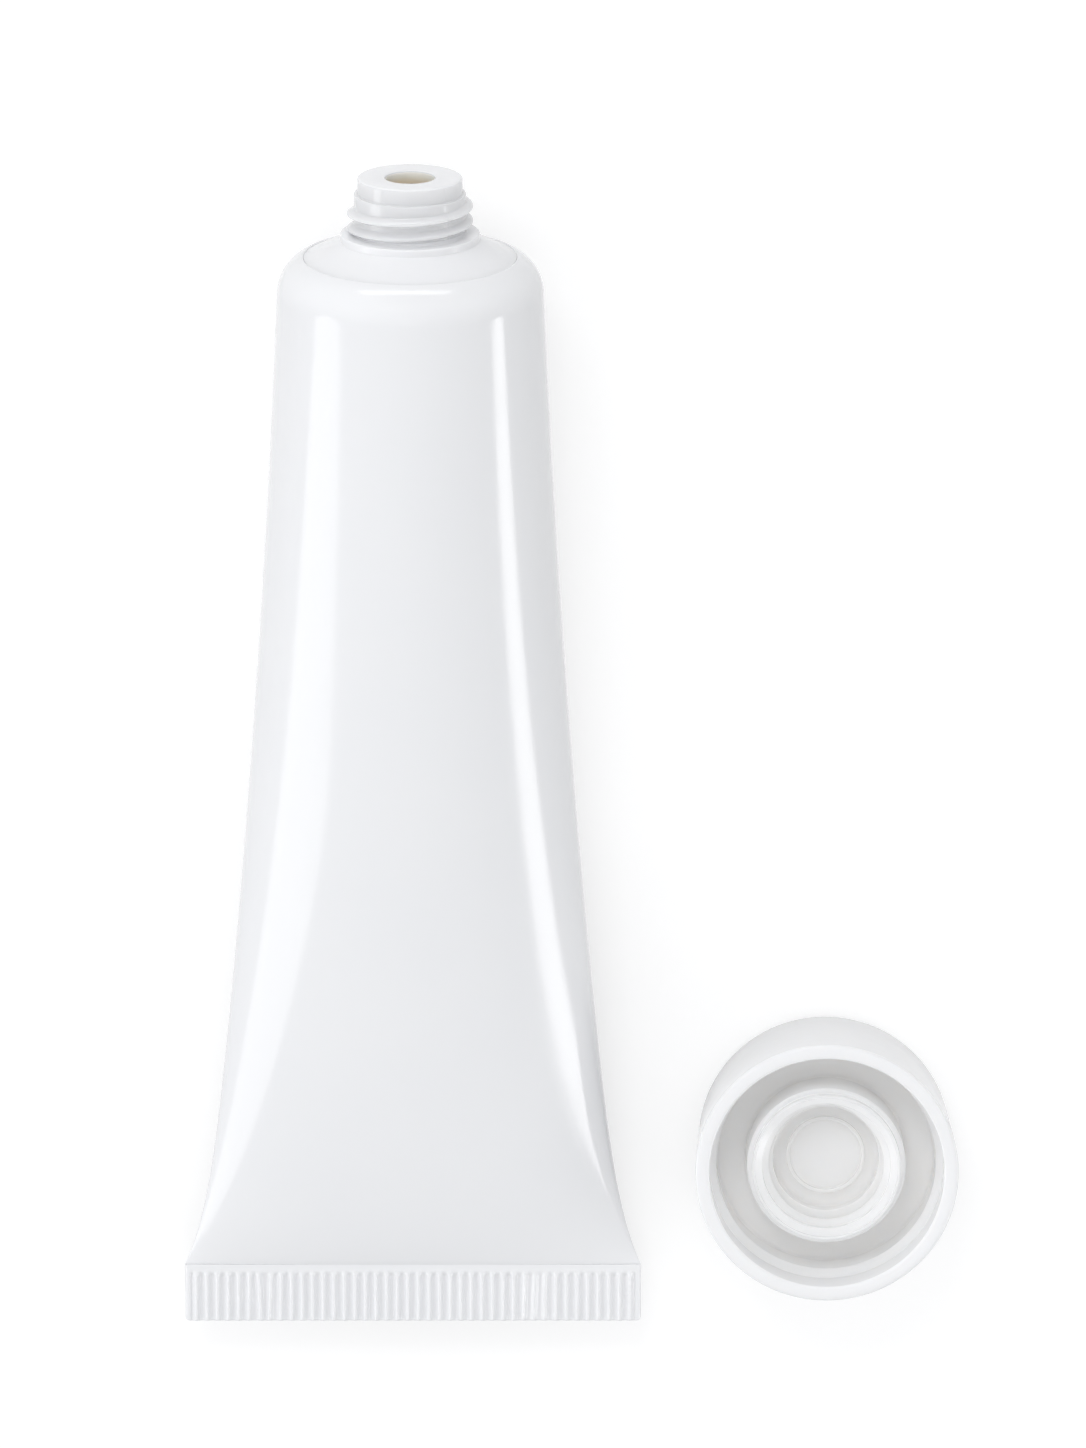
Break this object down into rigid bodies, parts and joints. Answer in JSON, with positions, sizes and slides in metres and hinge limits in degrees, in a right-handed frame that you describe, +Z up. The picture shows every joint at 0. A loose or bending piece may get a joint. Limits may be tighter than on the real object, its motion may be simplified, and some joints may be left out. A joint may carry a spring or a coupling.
{
  "type": "squeeze tube with screw cap",
  "caption": "Squeeze tube lying on its belly: round shoulder with a threaded neck, sides widening to a flat ribbed crimp, and its screw cap standing mouth up beside it.",
  "frame": {"origin": "on the floor, under the middle of the box round the tube and its cap", "axes": "+Y from the crimp towards the neck, +Z up from the floor, +X from the tube towards the cap"},
  "size_m": [0.0824, 0.1264, 0.0299],
  "materials": {
    "sleeve": "glossy white polyethylene film, smooth, embossed ribs on the crimp",
    "head": "glossy white moulded plastic, faintly translucent, warmer in the mouth",
    "cap": "glossy white moulded plastic, warm grey in its depths"
  },
  "bodies": {
    "root": {"sleeve": "sleeve", "head": "head", "cap": "cap"}
  },
  "joints": []
}
